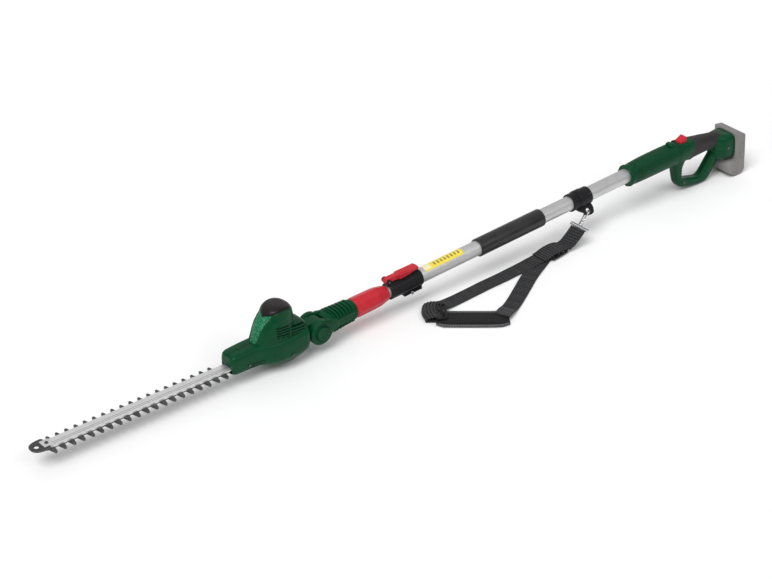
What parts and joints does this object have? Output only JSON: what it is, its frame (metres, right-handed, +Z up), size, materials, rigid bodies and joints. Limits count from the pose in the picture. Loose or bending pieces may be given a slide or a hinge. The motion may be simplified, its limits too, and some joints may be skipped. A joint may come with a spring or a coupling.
{
  "type": "pole hedge trimmer",
  "caption": "Battery pole hedge trimmer with telescopic tube, tilting toothed cutting head, D-handle, slide-on battery and a harness strap lying beside it.",
  "frame": {"origin": "centre of the flat foot under the battery, on the floor the tool lies on", "axes": "+X runs along the tool from the blade to the battery, +Z is up, -Y is the side with the tilt button and the strap; the pole leans up 3.11 degrees towards +X"},
  "size_m": [1.8317, 0.2131, 0.1398],
  "materials": {
    "green_plastic": "moulded ABS, satin",
    "black_plastic": "glass-filled nylon, satin",
    "soft_rubber": "soft overmould",
    "foam": "EVA foam sleeve",
    "red_plastic": "moulded nylon",
    "aluminium_tube": "satin anodised",
    "blade_bar": "ground steel",
    "blade_steel": "blackened ground steel",
    "steel": "zinc plated",
    "chrome": "bright nickel plate",
    "battery_grey": "moulded ABS",
    "cell_wrap": "shrink wrap",
    "circuit_board": "coated board",
    "webbing": "woven polyester webbing",
    "pad_fabric": "stitched polyester over foam",
    "label": "film label"
  },
  "bodies": {
    "head": {"head_shell_near": "green_plastic", "head_shell_far": "green_plastic", "head_knuckle": "green_plastic", "motor_cap": "black_plastic", "motor_can": "steel", "gear_axle": "steel", "gear_bearing": "steel", "gearbox_plate": "aluminium_tube", "guide_bar": "blade_bar", "tip_guard": "blade_steel", "tip_guard_screw": "steel", "blade_screw_1": "steel", "blade_screw_2": "steel", "head_screw_1": "steel", "head_screw_2": "steel"},
    "motor_rotor": {"motor_pinion": "steel"},
    "drive_gear": {"drive_gear": "steel"},
    "upper_blade": {"upper_blade": "blade_steel"},
    "lower_blade": {"lower_blade": "blade_steel"},
    "mast": {"neck_shell_near": "green_plastic", "neck_shell_far": "green_plastic", "pivot_bolt": "steel", "inner_tube": "aluminium_tube"},
    "tilt_button": {"tilt_button": "green_plastic"},
    "lock_collar": {"lock_collar": "red_plastic"},
    "pole": {"outer_tube": "aluminium_tube", "guide_bush": "black_plastic", "tube_label": "label", "foam_grip": "foam", "clamp_body": "black_plastic", "lever_pin": "steel", "clamp_screw": "steel", "ring_clamp_upper": "black_plastic", "ring_clamp_lower": "black_plastic", "ring_bolt": "steel", "handle_shell_near": "green_plastic", "handle_shell_far": "green_plastic", "soft_grip": "soft_rubber", "switch_module": "black_plastic", "trigger_pin": "steel", "control_board": "circuit_board", "terminal_block": "black_plastic", "handle_screw_1": "steel", "handle_screw_2": "steel"},
    "clamp_lever": {"clamp_lever": "red_plastic"},
    "trigger": {"trigger": "black_plastic"},
    "lock_out_switch": {"lock_out_switch": "red_plastic"},
    "battery": {"battery_case": "battery_grey", "battery_cover": "battery_grey", "battery_cells": "cell_wrap"},
    "battery_latch": {"battery_latch": "red_plastic"},
    "strap": {"snap_hook": "chrome", "strap_loop": "chrome", "webbing_drop": "webbing", "strap_slider": "black_plastic", "webbing_long": "webbing", "webbing_return": "webbing", "shoulder_pad": "pad_fabric", "strap_buckle": "black_plastic"},
    "hook_gate": {"hook_gate": "chrome"}
  },
  "joints": [
    {"name": "telescope", "type": "slide", "parent": "pole", "child": "mast", "axis": [-0.9985, 0, -0.0543], "range_m": [0, 0.5]},
    {"name": "head_tilt", "type": "hinge", "parent": "mast", "child": "head", "pos_m": [-1.1723, 0, 0.0475], "axis": [0, 1, 0], "range_deg": [-90, 45]},
    {"name": "tilt_button_press", "type": "slide", "parent": "mast", "child": "tilt_button", "axis": [0, 1, 0], "range_m": [0, 0.003], "stiffness_N_per_m": 1200, "springref_m": -0.002},
    {"name": "collar_turn", "type": "hinge", "parent": "mast", "child": "lock_collar", "pos_m": [-1.03251, 0, 0.05509], "axis": [0.9985, 0, 0.0543], "range_deg": [0, 90]},
    {"name": "clamp_lever_swing", "type": "hinge", "parent": "pole", "child": "clamp_lever", "pos_m": [-0.98796, 0, 0.08305], "axis": [0, -1, 0], "range_deg": [0, 115]},
    {"name": "trigger_pull", "type": "hinge", "parent": "pole", "child": "trigger", "pos_m": [-0.14705, 0, 0.08918], "axis": [0, -1, 0], "range_deg": [0, 7], "stiffness_Nm_per_rad": 0.8, "springref_deg": -5.73},
    {"name": "lock_out_push", "type": "slide", "parent": "pole", "child": "lock_out_switch", "axis": [-0.9985, 0, -0.0543], "range_m": [0, 0.004], "stiffness_N_per_m": 800, "springref_m": -0.002},
    {"name": "upper_blade_stroke", "type": "slide", "parent": "head", "child": "upper_blade", "axis": [1, 0, 0], "range_m": [-0.004, 0.004]},
    {"name": "lower_blade_stroke", "type": "slide", "parent": "head", "child": "lower_blade", "axis": [1, 0, 0], "range_m": [-0.004, 0.004]},
    {"name": "drive_gear_spin", "type": "hinge", "parent": "head", "child": "drive_gear", "pos_m": [-1.2873, 0, 0.045], "axis": [0, 0, 1], "continuous": true},
    {"name": "motor_spin", "type": "hinge", "parent": "head", "child": "motor_rotor", "pos_m": [-1.2643, 0, 0.045], "axis": [0, 0, 1], "continuous": true},
    {"name": "battery_slide", "type": "slide", "parent": "pole", "child": "battery", "axis": [0.0543, 0, -0.9985], "range_m": [0, 0.09]},
    {"name": "battery_latch_press", "type": "slide", "parent": "battery", "child": "battery_latch", "axis": [-0.9985, 0, -0.0543], "range_m": [0, 0.002], "stiffness_N_per_m": 800, "springref_m": -0.002},
    {"name": "strap_swing", "type": "hinge", "parent": "pole", "child": "strap", "pos_m": [-0.45403, -0.01982, 0.06201], "axis": [-1, 0, 0], "range_deg": [0, 15]},
    {"name": "gate_open", "type": "hinge", "parent": "strap", "child": "hook_gate", "pos_m": [-0.47442, -0.02154, 0.04484], "axis": [0.5715, -0.531, -0.6256], "range_deg": [0, 20], "stiffness_Nm_per_rad": 0.02, "springref_deg": -11.46}
  ],
  "couplings": [
    {"joint": "lower_blade_stroke", "follows": "upper_blade_stroke", "ratio": -1},
    {"joint": "motor_spin", "follows": "drive_gear_spin", "ratio": -3.6}
  ]
}
